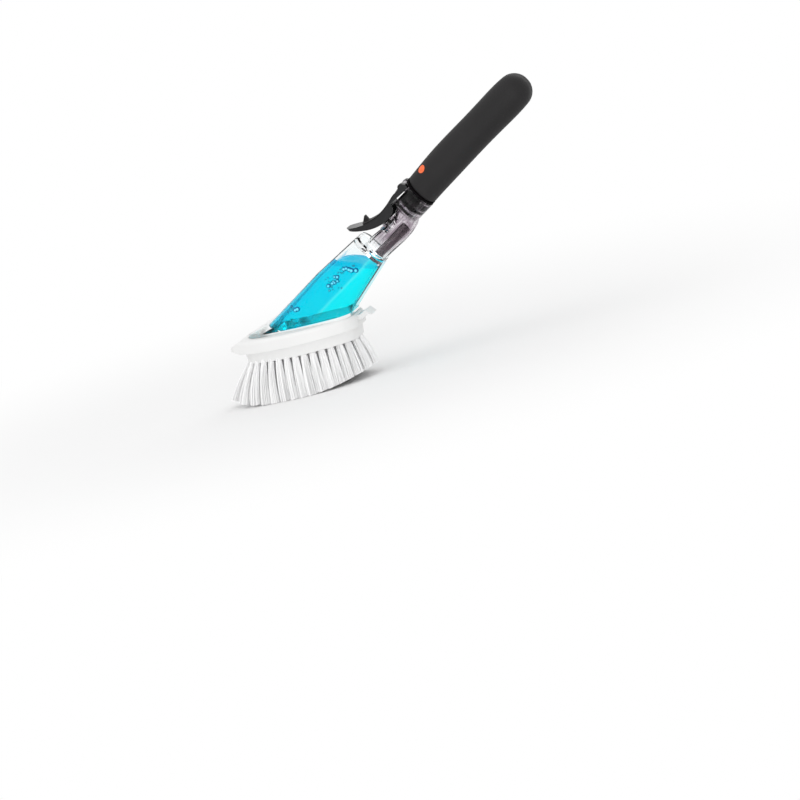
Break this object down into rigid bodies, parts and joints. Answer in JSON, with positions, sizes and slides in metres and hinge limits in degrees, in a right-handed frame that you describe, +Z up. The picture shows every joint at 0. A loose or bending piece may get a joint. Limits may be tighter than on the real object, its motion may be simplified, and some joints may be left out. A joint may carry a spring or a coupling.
{
  "type": "dish wand",
  "caption": "Soap-dispensing dish wand: a soft black grip that twists off, a clear soap reservoir with a thumb pump lever, and a push-off white brush head with flared bristles.",
  "frame": {"origin": "middle of the brush face, on the plane of the bristle tips", "axes": "+X towards the handle's end, +Z up from the bristle tips"},
  "size_m": [0.2505, 0.0604, 0.1697],
  "materials": {
    "clear_plastic": "gloss",
    "soap": "gloss",
    "black_plastic": "satin",
    "soft_black": "matte",
    "core_plastic": "satin",
    "white_plastic": "satin",
    "white_nylon": "satin",
    "orange": "satin",
    "silicone": "matte",
    "steel": "satin"
  },
  "bodies": {
    "reservoir": {"reservoir_body": "clear_plastic", "air_tube": "core_plastic", "soap_charge": "soap", "floor_plate": "clear_plastic", "outlet_valve": "silicone", "valve_retainer": "white_plastic", "lever_pin": "steel", "pump_diaphragm": "silicone", "diaphragm_ring": "core_plastic", "return_spring": "steel"},
    "lever": {"lever": "black_plastic", "thumb_pad": "soft_black"},
    "plunger": {"plunger": "core_plastic"},
    "handle": {"handle_core": "core_plastic", "grip_sleeve": "soft_black", "grip_dot": "orange", "plug_seal": "silicone"},
    "brush_head": {"head_carrier": "white_plastic", "tuft_block": "white_plastic", "outlet_gasket": "silicone", "tufts_outer": "white_nylon", "tufts_middle": "white_nylon", "tufts_inner": "white_nylon", "tuft_anchors": "steel"}
  },
  "joints": [
    {"name": "lever_press", "type": "hinge", "parent": "reservoir", "child": "lever", "pos_m": [0.09455, 0, 0.11595], "axis": [0, -1, 0], "range_deg": [0, 4.5], "stiffness_Nm_per_rad": 0.6, "springref_deg": -1.15},
    {"name": "plunger_slide", "type": "slide", "parent": "reservoir", "child": "plunger", "axis": [0.515, 0, -0.8572], "range_m": [0, 0.00206], "deforming": ["return_spring", "pump_diaphragm"]},
    {"name": "handle_twist", "type": "hinge", "parent": "reservoir", "child": "handle", "pos_m": [0.10406, 0, 0.10789], "axis": [0.8572, 0, 0.515], "range_deg": [0, 60]},
    {"name": "head_release", "type": "slide", "parent": "reservoir", "child": "brush_head", "axis": [0, 0, -1], "range_m": [0, 0.02]}
  ],
  "couplings": [
    {"joint": "plunger_slide", "follows": "lever_press", "m_per_rad": 0.026}
  ]
}
